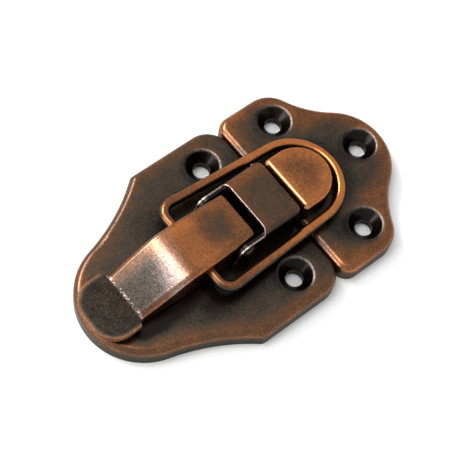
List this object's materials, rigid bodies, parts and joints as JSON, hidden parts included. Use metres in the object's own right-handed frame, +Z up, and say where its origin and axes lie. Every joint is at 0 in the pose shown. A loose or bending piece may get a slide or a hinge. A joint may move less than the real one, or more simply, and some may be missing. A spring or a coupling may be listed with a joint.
{
  "type": "toggle latch",
  "caption": "Surface-mounted toggle latch with a folded thumb lever, a wire bail and a keeper plate, pressed from sheet steel in an antique copper finish.",
  "frame": {"origin": "middle of the footprint on the mounting face", "axes": "+X along the latch towards the strike plate's tip, +Y across it, +Z up off the mounting face"},
  "size_m": [0.0724, 0.0414, 0.011],
  "materials": {
    "plated_sheet": "antique copper plating on sheet steel, dark in the middle and rubbed to copper at the rims",
    "plated_lever": "antique copper plating on sheet steel, rubbed brighter on top",
    "plated_wire": "antique copper plating on steel wire",
    "pin_steel": "antique copper plating on a steel rivet"
  },
  "bodies": {
    "base": {"base_plate": "plated_sheet", "pivot_pin": "pin_steel", "strike_plate": "plated_sheet"},
    "lever": {"lever": "plated_lever"},
    "bail": {"bail": "plated_wire"}
  },
  "joints": [
    {"name": "lever_pivot", "type": "hinge", "parent": "base", "child": "lever", "pos_m": [-0.0039, 0, 0.0075], "axis": [0, 1, 0], "range_deg": [0, 90]},
    {"name": "bail_pivot", "type": "hinge", "parent": "lever", "child": "bail", "pos_m": [-0.0121, 0, 0.0074], "axis": [0, 1, 0], "range_deg": [-76, 0]}
  ],
  "couplings": [
    {"joint": "bail_pivot", "follows": "lever_pivot", "ratio": -0.843}
  ]
}
